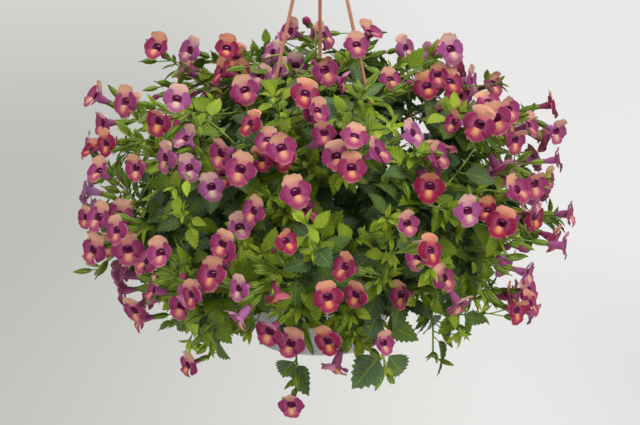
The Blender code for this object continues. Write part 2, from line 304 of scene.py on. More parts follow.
petalColours = {  # at hue 0, 0.5 and 1: wine, magenta and lilac flowers
    "side": ((0.235, 0.003, 0.038), (0.265, 0.022, 0.108), (0.325, 0.075, 0.235)),
    "lower": ((0.310, 0.009, 0.055), (0.385, 0.050, 0.140), (0.450, 0.140, 0.290)),
    "upper": ((0.680, 0.280, 0.150), (0.690, 0.375, 0.235), (0.650, 0.405, 0.345)),
    "flush": ((0.460, 0.050, 0.080), (0.560, 0.170, 0.200), (0.560, 0.240, 0.360)),
    "tube": ((0.290, 0.032, 0.115), (0.370, 0.085, 0.235), (0.430, 0.160, 0.370)),
    # backs: their own paler lilac, brightened as painted light through the petal
    "back": ((0.560, 0.090, 0.210), (0.620, 0.200, 0.420), (0.660, 0.310, 0.600)),
    "spot": ((0.650, 0.155, 0.085), (0.670, 0.240, 0.170), (0.740, 0.430, 0.400)),
    "heart": ((0.800, 0.400, 0.120), (0.780, 0.430, 0.220), (0.800, 0.600, 0.420)),
}
petalMarks = {
    "margin": (0.560, 0.190, 0.320),
    # a pale pink line on the lobes' edges, a painted highlight
    "rim": (0.720, 0.380, 0.460),
    # the dark mouth of the tube: its own purple, darkened further as painted shade
    "throatAndShade": (0.170, 0.016, 0.092),
    "deep": (0.640, 0.110, 0.400),
    "anther": (0.560, 0.360, 0.440),
    "blush": (0.72, 0.20, 0.09),
    "streak": (0.80, 0.70, 0.78),
}


def hueColour(start, hue, name):
    wine, magenta, lilac = petalColours[name]
    return hue.smooth(0.5, 1.0).tint(hue.smooth(0.0, 0.5).tint(wine, magenta), lilac)


def buildPetal(start):
    upper, side, lower = start.mark("upper"), start.mark("side"), start.mark("lower")
    reach, across = start.mark("reach"), abs(start.mark("across"))
    hue, front = start.mark("hue"), start.mark("front")
    mottle, streak = start.noise(420, 3, 0.6), start.noise(160, 4, 0.7)
    colours = {name: hueColour(start, hue, name) for name in petalColours}
    # the tube, dark within: bright magenta deep down and dark at its mouth, partly the flower's own
    # purple and partly painted shade of the opening
    inside = reach.smooth(-0.45, -0.08).tint(petalMarks["deep"], petalMarks["throatAndShade"])
    body = front.tint(colours["tube"], inside)
    # side lobes, paler along their inner margin
    inner = (1 - reach.smooth(0.05, 0.50)) * (1 - across.smooth(0.4, 1.0))
    lobe = (0.35 * inner).tint(colours["side"], petalMarks["margin"])
    body = side.smooth(0.05, 0.35).tint(body, lobe)
    # the lower lobe and its arched spot
    lobe = reach.smooth(0.70, 1.0).tint(colours["lower"], colours["flush"])
    low, wide = reach * 2.3 - 0.62, across * 1.55
    far = low * low + wide * wide
    lobe = (0.85 * (1 - far.smooth(0.0, 1.3))).tint(lobe, colours["spot"])
    lobe = (0.72 * (1 - far.smooth(0.0, 0.50))).tint(lobe, colours["heart"])
    body = lower.smooth(0.05, 0.35).tint(body, lobe)
    # the upper lip, flushed at its foot
    lip = reach.smooth(0.10, 0.60).tint(colours["flush"], colours["upper"])
    lip = (0.45 * (1 - hue) * reach.smooth(0.80, 1.0)).tint(lip, petalMarks["blush"])
    body = upper.smooth(0.05, 0.40).tint(body, lip)
    # backs are duller and paler, partly their own lilac and partly painted light shining through
    # the petal, and the edges catch a paler line, a painted highlight
    lobes = (upper + side + lower).smooth(0.0, 0.5)
    # painted light: the backs are brightened as though lit through the petal
    body = (0.80 * lobes * (1 - front)).tint(body, colours["back"])
    # painted highlight: a paler line along the lobes' edges
    rim = reach.smooth(0.90, 1.0).most(across.smooth(0.92, 1.0))
    body = (0.55 * lobes * rim).tint(body, petalMarks["rim"])
    body = (0.6 * streak.smooth(0.42, 0.75)).tint(body, petalMarks["streak"], "MULTIPLY")
    body = start.mark("anther").smooth(0.4, 0.6).tint(body, petalMarks["anther"])
    relief = start.bump(streak + 0.5 * mottle, 0.35, 0.0005)
    velvet = {"Sheen Weight": 0.04, "Sheen Roughness": 0.5}
    return {**skin(body, 0.50 + 0.15 * mottle, 0.2, relief), **velvet}


holderColours = {  # a pair is the two shades that clouds or grain mix
    "pot": ((0.560, 0.555, 0.590), (0.490, 0.488, 0.515)),
    "splash": (0.16, 0.12, 0.08),
    "rod": ((0.560, 0.235, 0.140), (0.480, 0.190, 0.110)),
    "mix": ((0.012, 0.008, 0.005), (0.085, 0.050, 0.028)),
    "fibre": (0.130, 0.085, 0.050),
    "perlite": ((0.62, 0.60, 0.56), (0.80, 0.79, 0.76)),
}


def buildPot(start):
    grain, cloud = start.noise(1500, 2), start.noise(14, 4)
    low = 1 - (start.axis("Z") - baseZ).smooth(0.0, 0.03)
    splash = low * start.noise(120, 4).smooth(0.52, 0.70)
    body = cloud.smooth(0.3, 0.7).tint(*holderColours["pot"])
    body = (splash * 0.35).tint(body, holderColours["splash"])
    return skin(body, 0.42 + 0.14 * cloud, 0.45, start.bump(grain, 0.12, 0.0003))


def buildRod(start):
    grain, cloud = start.noise(1300, 2), start.noise(35, 3)
    body = cloud.smooth(0.3, 0.7).tint(*holderColours["rod"])
    return skin(body, 0.36 + 0.16 * cloud, 0.5, start.bump(grain, 0.10, 0.0002))


def buildMix(start):
    grit, fibre = start.noise(260, 6, 0.7), start.noise(60, 4, 0.6)
    body = grit.smooth(0.35, 0.70).tint(*holderColours["mix"])
    body = (0.5 * fibre.smooth(0.5, 0.7)).tint(body, holderColours["fibre"])
    return skin(body, 0.85 + 0.12 * grit, 0.5, start.bump(grit + fibre, 0.8, 0.0015))


def buildPerlite(start):
    grain = start.noise(700, 3)
    body = grain.smooth(0.3, 0.8).tint(*holderColours["perlite"])
    return skin(body, 0.80 + 0.15 * grain, 0.5, start.bump(grain, 0.6, 0.0006))


# painted light and shade on the floor: darker to the left, lighter to the right and far back, a
# little darker near on the right
paperLightAndShade = {
    "left": (0.530, 0.535, 0.495),
    "right": (0.890, 0.885, 0.875),
    "far": (0.900, 0.905, 0.890),
    "near": (0.740, 0.735, 0.720),
}


def buildPaper(start):
    # the floor, which keeps the plant's shadow and shows much of its colour unshaded; that colour
    # is a painted gradient of light and shade
    x, y = start.axis("X"), start.axis("Y")
    shade = x.smooth(-0.80, 0.70).tint(paperLightAndShade["left"], paperLightAndShade["right"])
    shade = (0.5 * y.smooth(2.0, 8.0)).tint(shade, paperLightAndShade["far"])
    near = x.smooth(0.20, 0.60) * (1 - y.smooth(1.2, 2.8))
    shade = (0.8 * near).tint(shade, paperLightAndShade["near"])
    matt = start.node("ShaderNodeBsdfDiffuse", inputs={"Color": shade})
    lit = start.node("ShaderNodeEmission", inputs={"Color": shade, "Strength": 1.0})
    return start.node("ShaderNodeMixShader", inputs={0: start.seen() * 0.8, 1: matt, 2: lit})


def take(obj):
    bpy.ops.object.select_all(action="DESELECT")
    obj.select_set(True)
    bpy.context.view_layer.objects.active = obj


def mode(name):
    bpy.ops.object.mode_set(mode=name)


def begin(name):
    # names the primitive just added, puts its place in its mesh and opens it
    made = bpy.context.object
    made.name = name
    bpy.ops.object.transform_apply(location=True, rotation=True, scale=True)
    mode("EDIT")
    bpy.ops.mesh.select_mode(type="VERT")
    return made


def pick(test):
    # selects the points that pass the test
    bpy.ops.mesh.select_all(action="DESELECT")
    mode("OBJECT")
    for point in bpy.context.object.data.vertices:
        point.select = test(point.co)
    mode("EDIT")


def pickFaces(test):
    bpy.ops.mesh.select_all(action="DESELECT")
    mode("OBJECT")
    for face in bpy.context.object.data.polygons:
        face.select = test(face)
    mode("EDIT")


def pickAll():
    bpy.ops.mesh.select_all(action="SELECT")


def faceOut():
    pickAll()
    bpy.ops.mesh.normals_make_consistent(inside=False)


def shift(x=0.0, y=0.0, z=0.0):
    bpy.ops.transform.translate(value=(x, y, z))


def stretch(x, y, z, about):
    bpy.ops.transform.resize(value=(x, y, z), center_override=about)


def pull(x=0.0, y=0.0, z=0.0):
    bpy.ops.mesh.extrude_region_move(TRANSFORM_OT_translate={"value": (x, y, z)})


def setMark(mesh, name, values, domain="POINT"):
    held = mesh.attributes.get(name) or mesh.attributes.new(name, "FLOAT", domain)
    held.data.foreach_set("value", list(values))


def ringed(name, rings, sides, fill="NGON"):
    # a round shape through the radius and height of each ring, its last ring still picked
    (wide, low), *rest = rings
    bpy.ops.mesh.primitive_circle_add(
        vertices=sides, radius=wide, fill_type=fill, location=(0, 0, low)
    )
    shape = begin(name)
    pickAll()
    for nextWide, nextLow in rest:
        pull(z=nextLow - low)
        stretch(nextWide / wide, nextWide / wide, 1, (0, 0, nextLow))
        wide, low = nextWide, nextLow
    return shape


def turned(name, rings, sides):
    # the same as a finished solid, closed at both ends
    shape = ringed(name, rings, sides)
    faceOut()
    mode("OBJECT")
    return shape


def closeSheet(sheet, thickness, sideName):
    # gives a one-sided sheet its second side, marked by name, which meets the first at the outline
    mode("OBJECT")
    mesh = sheet.data
    uses = Counter(key for face in mesh.polygons for key in face.edge_keys)
    outline = {point for key, count in uses.items() if count == 1 for point in key}
    points, faces = len(mesh.vertices), len(mesh.polygons)
    mode("EDIT")
    pickAll()
    bpy.ops.mesh.duplicate()
    bpy.ops.mesh.flip_normals()
    bpy.ops.mesh.select_all(action="DESELECT")
    mode("OBJECT")
    for point in mesh.vertices:
        point.select = point.index >= points and point.index - points not in outline
    setMark(mesh, sideName, [float(face.index >= faces) for face in mesh.polygons], "FACE")
    mode("EDIT")
    bpy.ops.transform.shrink_fatten(value=thickness)
    pickAll()
    bpy.ops.mesh.remove_doubles(threshold=thickness / 50)
    mode("OBJECT")


def smoothShape(obj, degrees):
    take(obj)
    bpy.ops.object.shade_smooth_by_angle(angle=math.radians(degrees))


leafForms = {  # half widths from stalk to tip, in lengths; then how the blade folds, bulges, droops
    "broad": {
        "widths": (0, 0.235, 0.345, 0.370, 0.340, 0.275, 0.190, 0.100, 0),
        "columns": 4, "fold": 0.035, "bulge": 0.032, "droop": 0.18, "sway": 0.00,
    },
    "ovate": {
        "widths": (0, 0.180, 0.280, 0.305, 0.285, 0.235, 0.165, 0.085, 0),
        "columns": 4, "fold": 0.060, "bulge": 0.030, "droop": 0.28, "sway": 0.05,
    },
    "narrow": {
        "widths": (0, 0.120, 0.195, 0.220, 0.205, 0.170, 0.120, 0.060, 0),
        "columns": 4, "fold": 0.080, "bulge": 0.020, "droop": 0.14, "sway": -0.05,
    },
    "hooked": {
        "widths": (0, 0.195, 0.290, 0.315, 0.290, 0.235, 0.160, 0.085, 0),
        "columns": 4, "fold": 0.095, "bulge": 0.022, "droop": 0.44, "sway": -0.08,
    },
    "sprout": {
        "widths": (0, 0.110, 0.150, 0.145, 0.090, 0),
        "columns": 2, "fold": 0.100, "bulge": 0.0, "droop": 0.10, "sway": 0.04,
    },
}
tooth = {"out": 1.24, "forward": 0.044}
sheetThickness = {"leaf": 0.012, "petal": 0.00035}  # a leaf's is in its own lengths


def modelLeaf(name):
    form = leafForms[name]
    widths, sway = form["widths"], form["sway"]
    rows = len(widths) - 1
    bpy.ops.mesh.primitive_grid_add(
        x_subdivisions=form["columns"], y_subdivisions=rows, size=1, location=(0, 0.5, 0)
    )
    leaf = begin("leaf_" + name)
    for row, width in enumerate(widths):
        share, middle, lift = row / rows, sway * (row / rows) ** 2, width / max(widths)
        pick(lambda p: abs(p.y - share) < 0.01)
        stretch(2 * width, 1, 1, (0, share, 0))
        shift(x=middle, z=-form["droop"] * share**2)
        if 0 < row < rows:  # between midrib and edge it bulges, and at its edges it folds up
            for low, high, rise in ((0.2, 0.8, form["bulge"]), (0.8, 2, form["fold"])):
                near, far = low * width, high * width
                pick(lambda p: abs(p.y - share) < 0.01 and near < abs(p.x - middle) < far)
                shift(z=rise * lift)
    if form["columns"] > 2:
        sawEdges(widths, sway)
    pickAll()
    bpy.ops.mesh.remove_doubles(threshold=0.001)
    mode("OBJECT")
    points = [point.co for point in leaf.data.vertices]
    setMark(leaf.data, "across", [edgeShare(point, widths, sway) for point in points])
    setMark(leaf.data, "along", [point.y for point in points])
    closeSheet(leaf, sheetThickness["leaf"], "under")
    smoothShape(leaf, 50)
    leaf.data.materials.append(leafFinish)
    return leaf


def sawEdges(widths, sway):
    # a new point in the middle of each outer edge stands out and forward as a tooth
    rows = len(widths) - 1
    pick(lambda p: abs(abs(p.x - sway * p.y**2) - widths[round(p.y * rows)]) < 0.002)
    bpy.ops.mesh.subdivide(number_cuts=1, ngon=True)
    pick(lambda p: abs(p.y * rows - round(p.y * rows)) > 0.25 and 1 < p.y * rows < rows - 1)
    stretch(tooth["out"], 1, 1, (sway * 0.3, 0, 0))
    shift(y=tooth["forward"])


def edgeShare(point, widths, sway):
    # how far across the blade a point is: 0 on the midrib, 1 and -1 on the edges
    share = min(max(point.y, 0.0), 0.999)
    row = int(share * (len(widths) - 1))
    width = widths[row] + (widths[row + 1] - widths[row]) * (share * (len(widths) - 1) - row)
    return min(max((point.x - sway * share**2) / max(width, 0.02), -1), 1)


# the tube's rings, radius and height, from its floor just above the calyx to its mouth
tube = ((0.0003, 0.0041), (0.0026, 0.0041), (0.0030, 0.0060), (0.0044, 0.0125), (0.0050, 0.0185))
squash = 0.88  # the mouth is wider than it is tall
lobeForms = {  # row by row: reach of the middle, half width, how far the sides lag, lift
    "upper": (
        (0.0078, 0.0070, 0.0018, -0.0002),
        (0.0114, 0.0102, 0.0026, 0.0000),
        (0.0148, 0.0110, 0.0030, 0.0010),
        (0.0170, 0.0088, 0.0022, 0.0004),
    ),
    "side": (
        (0.0076, 0.0074, 0.0022, 0.0018),
        (0.0106, 0.0099, 0.0034, 0.0025),
        (0.0136, 0.0094, 0.0042, 0.0018),
        (0.0152, 0.0064, 0.0032, 0.0000),
    ),
    "lower": (
        (0.0035, 0.0047, -0.0006, 0.0027),
        (0.0092, 0.0082, 0.0026, 0.0050),
        (0.0134, 0.0092, 0.0038, 0.0049),
        (0.0158, 0.0062, 0.0027, 0.0034),
    ),
}
flowerForms = {  # how far each kind of lobe leans forward and how wide it opens, then the crimp
    "open": ({"upper": (0.0, 1.0), "side": (0.0, 1.0), "lower": (0.0, 1.0)}, 0.0005),
    "hooded": ({"upper": (0.0040, 0.88), "side": (0.0014, 0.96), "lower": (0.0, 1.0)}, 0.0006),
    "flung": (
        {"upper": (-0.0022, 1.06), "side": (-0.0024, 1.04), "lower": (-0.0014, 1.05)}, 0.0007
    ),
    "cupped": ({"upper": (0.0046, 0.92), "side": (0.0040, 0.88), "lower": (0.0022, 0.92)}, 0.0005),
    "shut": ({"upper": (0.0085, 0.76), "side": (0.0010, 0.98), "lower": (-0.0010, 1.06)}, 0.0006),
    "nodding": ({"upper": (0.0020, 1.0), "side": (0.0, 1.0), "lower": (-0.0040, 1.04)}, 0.0007),
}
flowerSides = 24
petalCrimps = ((0.0060, 1.0, 0), (0.0125, 1.2, 20))  # from what reach, how much, and its seed
lobeDirections = {"upper": (0, 1), "side": (1, 0), "lower": (0, -1), "sideLeft": (-1, 0)}
anthers = {
    "radius": 0.0008, "apart": 0.0009, "high": 0.0024, "deep": 0.0020, "shape": (1.3, 0.8, 0.9),
}


def modelFlower(name, number):
    lobes, crimp = flowerForms[name]
    flower = ringed("flower_" + name, tube, flowerSides, "NOTHING")
    mouth, mouthZ = tube[-1]
    stretch(1, squash, 1, (0, 0, mouthZ))
    flower.update_from_editmode()
    tubePoints = len(flower.data.vertices)
    for lobe, (x, y) in lobeDirections.items():
        kind = lobe.replace("Left", "")
        growLobe(lobeForms[kind], x, y, *lobes[kind])
    mode("OBJECT")
    markFlower(flower.data, tubePoints)
    mode("EDIT")
    faceOut()
    flower.update_from_editmode()
    wall = flower.data.polygons[flowerSides]
    if wall.normal.dot(Vector((*wall.center.xy, 0))) < 0:
        bpy.ops.mesh.flip_normals()
    for reach, share, seed in petalCrimps:
        pick(lambda p: p.z > mouthZ - 0.001 and p.xy.length > reach)
        bpy.ops.transform.vertex_random(offset=crimp * share, uniform=1.0, seed=number + seed)
    closeSheet(flower, sheetThickness["petal"], "front")
    return flower


def growLobe(rows, x, y, lean, opening):
    # pulls one quarter of the mouth's ring out, row by row, towards x, y
    mouth, mouthZ = tube[-1]
    deepness = 1 if x else squash
    half = mouth * math.sqrt(0.5) * (squash if x else 1)
    corner = mouth * math.sqrt(0.5) * deepness
    reach, lag, rise = mouth * deepness, mouth * deepness - corner, 0.0
    pick(
        lambda p: abs(p.z - mouthZ) < 1e-5
        and p.x * x + p.y * y > corner * 0.99
        and p.xy.length < mouth * 1.01
    )
    for row, (nextReach, nextHalf, nextLag, nextRise) in enumerate(rows, 1):
        nextReach, nextHalf = nextReach * opening, nextHalf * opening
        nextRise += lean * (row / len(rows)) ** 2.5
        pull(x=x * (nextReach - reach), y=y * (nextReach - reach), z=nextRise - rise)
        about = (x * nextReach, y * nextReach, mouthZ + nextRise)
        wide, deep = nextHalf / half, nextLag / lag
        stretch(deep if x else wide, deep if y else wide, 1, about)
        reach, half, lag, rise = nextReach, nextHalf, nextLag, nextRise


def markFlower(mesh, tubePoints):
    # reach is -1 at the tube's foot, 0 at its mouth and 1 at a lobe's end
    rows, columns = len(lobeForms["upper"]), flowerSides // 4 + 1
    kinds = [lobe.replace("Left", "") for lobe in lobeDirections]
    marks = {name: [] for name in ("reach", "across", *lobeForms)}
    for point in mesh.vertices:
        lobe, place = divmod(point.index - tubePoints, rows * columns)
        kind, row = ("tube", None) if lobe < 0 else (kinds[lobe], place // columns)
        for name in lobeForms:
            marks[name].append(float(name == kind))
        if kind == "tube":
            marks["reach"].append(point.co.z / tube[-1][1] - 1)
            marks["across"].append(0.0)
            continue
        marks["reach"].append((row + 1) / rows)
        half = lobeForms[kind][row][1]
        sideways = point.co.y if kind == "side" else point.co.x
        width = 0.5 + 0.5 * half / 0.009  # a narrow row stays clear of the edge's paler line
        marks["across"].append(min(max(sideways / half, -1), 1) * width)
    for name, values in marks.items():
        setMark(mesh, name, values)


def addAnthers(flower):
    parts = [flower]
    for side in (-1, 1):
        spot = (side * anthers["apart"], anthers["high"], tube[-1][1] - anthers["deep"])
        bpy.ops.mesh.primitive_ico_sphere_add(
            subdivisions=1, radius=anthers["radius"], location=spot
        )
        anther = begin("anther")
        pickAll()
        stretch(*anthers["shape"], spot)
        mode("OBJECT")
        setMark(anther.data, "anther", [1.0] * len(anther.data.vertices))
        parts.append(anther)
    joined(flower.name, parts)
    smoothShape(flower, 55)
    flower.data.materials.append(petalFinish)


budForms = {  # radius and height of each ring, and how far the ribs stand out
    "calyx": (
        ((0.0009, 0), (0.0023, 0.0022), (0.0031, 0.0062), (0.0029, 0.0115), (0.0024, 0.0155),
         (0.0029, 0.0168)),
        1.22,
    ),
    "bud": (
        ((0.0008, 0), (0.0020, 0.0028), (0.0029, 0.0080), (0.0026, 0.0135), (0.0014, 0.0180),
         (0.0004, 0.0210)),
        1.20,
    ),
    "pod": (
        ((0.0009, 0), (0.0026, 0.0028), (0.0037, 0.0080), (0.0032, 0.0135), (0.0018, 0.0172),
         (0.0007, 0.0195), (0.0004, 0.0240)),
        1.15,
    ),
    "furled": (
        ((0.0022, 0), (0.0036, 0.0030), (0.0040, 0.0064), (0.0030, 0.0100), (0.0014, 0.0126),
         (0.0004, 0.0134)),
        1.08,
    ),
}
ribCount = 5


def modelBud(name):
    rings, ribs = budForms[name]
    slot = math.pi / ribCount

    def onRib(point):
        return round(math.atan2(point.x, point.y) / slot) % 2 == 0

    bud = turned(name, rings, 2 * ribCount)
    mode("EDIT")
    pick(onRib)
    stretch(ribs, ribs, 1, (0, 0, 0))
    mode("OBJECT")
    points = [point.co for point in bud.data.vertices]
    setMark(bud.data, "along", [point.z / rings[-1][1] for point in points])
    setMark(bud.data, "across", [float(onRib(point)) for point in points])
    smoothShape(bud, 60)
    bud.data.materials.append(petalFinish if name == "furled" else calyxFinish)
    return bud


def place(master, turn, **marks):
    mesh = master.data.copy()
    mesh.transform(turn)
    for name, value in marks.items():
        setMark(mesh, name, [value] * len(mesh.vertices))
    copy = bpy.data.objects.new(master.name, mesh)
    bpy.context.scene.collection.objects.link(copy)
    return copy


def joined(name, parts):
    bpy.ops.object.select_all(action="DESELECT")
    for part in parts:
        part.select_set(True)
    bpy.context.view_layer.objects.active = parts[0]
    if len(parts) > 1:
        bpy.ops.object.join()
    parts[0].name = parts[0].data.name = name
    return parts[0]


def hand(piece, nodes):
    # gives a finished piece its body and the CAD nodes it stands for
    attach(piece, "root")
    if nodes:
        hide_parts(*nodes)


mound = {  # as the part's source has it, from the middle of the rim
    "shoots": 32,
    "radius": 0.254,
    "topLoss": 0.062,
    "bottomLoss": 0.110,
    "topSine": 0.97,
    "bottomSine": -0.85,
    "firstAzimuth": math.radians(-43.5),
    "faceShare": 0.6,
    "lowestFace": math.radians(-14),
    "rootRadius": 0.068,
    "nearestEnd": 0.145,
    "startRise": 0.072,
    "hangingRise": 0.030,
    "startLean": 0.010,
    "endPull": 0.070,
    "hangingPull": Vector((0.030, 0.200)),
    "calyx": 0.016,
    "flower": 0.0255,
    "bud": 0.024,
}


def polar(radius, azimuth, height):
    return Vector((radius * math.cos(azimuth), radius * math.sin(azimuth), height))


def bezier(points, share):
    rest = 1 - share
    weights = (rest**3, 3 * rest**2 * share, 3 * rest * share**2, share**3)
    total = points[0] * weights[0]
    for point, weight in zip(points[1:], weights[1:]):
        total = total + point * weight
    return total


def moundReach(sine):
    low, high = max(0.0, -sine), max(0.0, sine)
    return mound["radius"] - mound["topLoss"] * high**4 - mound["bottomLoss"] * low**2


def faceAngle(sine):
    return max(mound["faceShare"] * math.asin(sine), mound["lowestFace"])


def planShoot(index):
    share = (index + 0.5) / mound["shoots"]
    sine = mound["topSine"] + (mound["bottomSine"] - mound["topSine"]) * share
    low = max(0.0, -sine)
    reach, angle = moundReach(sine), faceAngle(sine)
    face = Vector((math.cos(angle), math.sin(angle)))
    flowers = index % 3 != 2
    head = mound["calyx"] + mound["flower"] if flowers else mound["bud"]
    root = Vector((mound["rootRadius"] * math.sqrt(share), mixZ))
    end = Vector((reach * math.cos(math.asin(sine)), rimZ + reach * sine)) - face * head
    end.x = max(end.x, mound["nearestEnd"] * low)
    rise = mound["startRise"] + mound["hangingRise"] * low
    startPull = root + Vector((mound["startLean"], rise))
    endPull = end - face * mound["endPull"] * (1 - low) + mound["hangingPull"] * low
    azimuth = mound["firstAzimuth"] + index * goldenAngle
    corners = [polar(p.x, azimuth, p.y) for p in (root, startPull, endPull, end)]
    return {
        "number": index + 1,
        "corners": corners,
        "face": polar(face.x, azimuth, face.y),
        "azimuth": azimuth,
        "sine": sine,
        "flowers": flowers,
        "tips": [],
        "heads": [],
    }


habit = {
    "seed": 122,
    "tips": 188,  # flowering ends all over the mound
    "firstTip": 0.7,
    "topThin": 0.85,  # under 1, the very top has fewer of them
    "litTips": 30,  # more of them where the light falls
    "litSine": (-0.05, 0.50),
    "litSpread": 1.15,
    "nearestTip": 0.030,
    "jitter": 0.045,
    "highestSine": 0.985,
    "lowestSine": (-0.43, 0.02),  # at the front and back, and how much lower at the sides
    "proud": 0.006,  # how far they stand out of the mound, and how deep chance and height sink them
    "deepest": 0.060,
    "topSink": 0.056,
    "lowSink": 0.09,
    "faceUp": (math.radians(6), 0.26, 0.38),  # at the rim's height, by the height, by chance
    "faceSideways": 0.72,
    "leafy": 0.16,  # so many of them have leaves alone
    "drawn": 0.45,  # so many draw near another
    "drawnBy": 0.38,
    "inner": 58,  # leafy ends deeper in, round the pot
    "innerSine": (-0.62, 0.28),
    "innerReach": (0.66, 0.82),
    "lightFrom": math.radians(-90),
    "turnSide": 0.24,
    "turnTop": 0.72,
    "twigFrom": (0.42, 0.62),  # how far out on the shoot, as a share of the tip's distance
    "twigShort": (0.051, 0.018),  # it ends this far short of a flowering tip, or of a leafy one
    "hanging": 8,  # the last shoots hang over the rim
    "stemRadius": 0.0016,
    "twigRadius": 0.0011,
    "stemTaper": 0.6,
}
heads = {
    "shootHues": (0.15, 0.5, 0.5, 0.6, 0.85),
    "twigHues": (0.05, 0.25, 0.45, 0.5, 0.6, 0.85),
    "flowering": 0.76,  # so many twigs end in a flower, and the others in a bud
    "more": (1, 2, 3, 4, 4),  # and behind it stand so many of these kinds
    "kinds": ("flower",) * 2 + ("bud",) * 5 + ("pod",) * 3 + ("furled",),
    "tries": 4,
    "turn": (0.18, 0.75),  # how far chance turns a twig's end head, and those behind it
    "place": (0.78, 0.98),  # how far along their twig those stand
    "stalk": (0.013, 0.034),
    "lowerPlace": (0.86, 0.98),  # and a shoot's own buds and pods
    "lowerStalk": (0.012, 0.024),
    "stalkRadius": 0.00065,
    "mouthAhead": 0.034,
    "budAhead": 0.012,
    "mouthSpace": 0.020,
    "roll": 0.38,
    "sunk": 0.0130,  # where a flower sits in its calyx
    "size": (0.78, 1.0),
    "kindSize": {"furled": 0.74, "tall": 1.25},
    "ripe": {"calyx": 0.7, "bud": 0.9, "pod": 0.35},
    "tallShoot": 2,  # a round dark bud stands on this one between the rods
    "tallLook": Vector((-0.22, -0.89, 0.40)),
    "tallStalk": 0.034,
}
leaves = {
    "out": 0.85,  # a leaf stands out from its stem, ahead along it, and a little down
    "ahead": (0.45, 0.9),  # for leaves, and for the sprouts in their corners
    "down": 0.15,
    "flat": 0.45,  # it lies back along the mound and faces outwards and up
    "stray": 0.25,
    "skyward": 0.55,
    "lightStray": 0.40,
    "stalk": (0.12, 0.02),
    "stalkRadius": (0.0007, 0.0005),
    "youngFrom": 0.7,
    "size": (0.80, 1.15),
    "width": (0.9, 1.1),
    "ageStray": 0.22,
    "sprout": (0.011, 0.017),
    "crown": (0.012, 0.019),
    "kinds": {
        "sprout": ("sprout",),
        "young": ("narrow", "ovate"),
        "grown": ("broad", "ovate", "ovate", "hooked"),
    },
}
leafRows = {  # how young they get, how many have a sprout, then each pair's place and length
    "hanging": (0.45, 0.3, (
        (0.28, 0.034), (0.37, 0.036), (0.46, 0.036), (0.55, 0.034), (0.66, 0.033), (0.77, 0.031),
        (0.86, 0.031), (0.95, 0.037),
    )),
    "shoot": (0.7, 0.3, (
        (0.28, 0.034), (0.40, 0.036), (0.52, 0.036), (0.63, 0.034), (0.74, 0.031), (0.84, 0.027),
        (0.93, 0.020),
    )),
    "twig": (1.0, 0.5, (
        (0.24, 0.032), (0.42, 0.030), (0.59, 0.027), (0.75, 0.023), (0.90, 0.018),
    )),
}
chance = random.Random(habit["seed"])


def spread(amount):
    return chance.uniform(-amount, amount)


def jittered(direction, amount):
    return (direction + Vector((spread(amount), spread(amount), spread(amount)))).normalized()


def litAzimuth(azimuth, sine):
    # flowers turn to the light, which comes from the front, and most of all on the top
    away = (azimuth - habit["lightFrom"] + math.pi) % math.tau - math.pi
    lift = min(max((sine - 0.35) / 0.4, 0), 1)
    share = habit["turnSide"] * math.cos(away / 2) * (1 - lift) + habit["turnTop"] * lift
    return azimuth - away * share


def onMound(reach, azimuth, sine):
    return polar(reach * math.sqrt(1 - sine**2), azimuth, rimZ + reach * sine)


def planTips(shoots):
    # each end goes to the shoot that ends nearest to it
    ends = [shoot["corners"][-1] + shoot["face"] * 0.04 for shoot in shoots]

    def nearestShoot(point):
        return min(shoots, key=lambda shoot: (point - ends[shoot["number"] - 1]).length)

    inner = []
    front, side = habit["lowestSine"]
    level, lift, stray = habit["faceUp"]
    for number in range(habit["tips"] + habit["litTips"]):
        azimuth = habit["firstTip"] + number * goldenAngle + spread(habit["jitter"] * 3)
        lowest = front + side * abs(math.cos(azimuth))
        share = ((number + 0.5) / habit["tips"]) ** habit["topThin"]
        sine = mound["topSine"] + (lowest - mound["topSine"]) * share
        if number >= habit["tips"]:
            azimuth = habit["lightFrom"] + spread(habit["litSpread"])
            sine = chance.uniform(*habit["litSine"])
        sine = min(sine + spread(habit["jitter"]), habit["highestSine"])
        sink = habit["deepest"] * chance.random() ** 2 + habit["topSink"] * max(0.0, sine - 0.5)
        sink += habit["lowSink"] * max(0.0, -0.1 - sine)
        point = onMound(moundReach(sine) + habit["proud"] - sink, azimuth, sine)
        if min((point - end).length for end in ends) < habit["nearestTip"]:
            continue
        angle = level + lift * math.asin(sine) + spread(stray)
        azimuth = litAzimuth(azimuth, sine) + spread(habit["faceSideways"])
        face = polar(math.cos(angle), azimuth, math.sin(angle))
        leafy = chance.random() < habit["leafy"]
        tip = {"point": point, "face": face, "sine": sine, "leafy": leafy}
        nearestShoot(point)["tips"].append(tip)
    for number in range(habit["inner"]):
        azimuth, sine = number * goldenAngle, chance.uniform(*habit["innerSine"])
        reach = moundReach(sine) * chance.uniform(*habit["innerReach"])
        point = onMound(reach, azimuth, sine)
        face = polar(math.cos(spread(0.4)), azimuth, 0.1).normalized()
        inner.append({"point": point, "face": face, "sine": sine, "leafy": True})
    tips = [tip for shoot in shoots for tip in shoot["tips"] if not tip["leafy"]]
    for tip in tips:  # some draw near each other, so that their flowers stand in clusters
        if chance.random() < habit["drawn"]:
            others = [other["point"] for other in tips if other is not tip]
            mate = min(others, key=lambda other: (other - tip["point"]).length)
            tip["point"] = tip["point"].lerp(mate, habit["drawnBy"])
    for tip in inner:
        nearestShoot(tip["point"])["tips"].append(tip)


